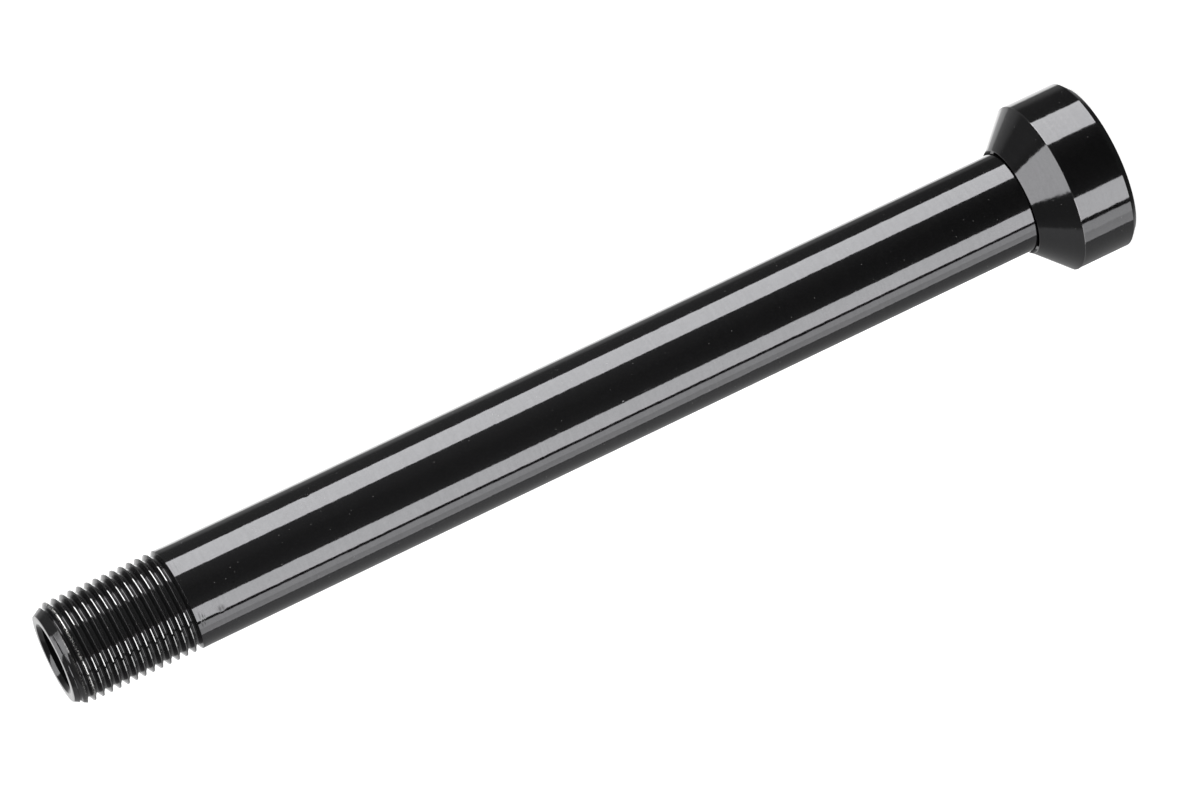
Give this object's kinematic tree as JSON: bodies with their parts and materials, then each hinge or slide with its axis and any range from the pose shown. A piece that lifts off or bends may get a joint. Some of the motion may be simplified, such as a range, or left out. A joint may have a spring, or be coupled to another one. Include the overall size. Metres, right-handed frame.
{
  "type": "bicycle thru axle",
  "caption": "Hollow round thru axle with a fine-threaded end, a plain shaft and a wide head with a conical seat and a hex socket; it fastens a bicycle wheel's hub in its dropouts.",
  "frame": {"origin": "centre of the head's outer face, on the axle's axis", "axes": "+Z along the axle from the head to the threaded end, +X towards a corner of the drive socket, +Y square to one of its flats"},
  "size_m": [0.02, 0.02, 0.1295],
  "materials": {
    "anodised_aluminium": "gloss black anodised"
  },
  "bodies": {
    "root": {"thru_axle": "anodised_aluminium"}
  },
  "joints": []
}
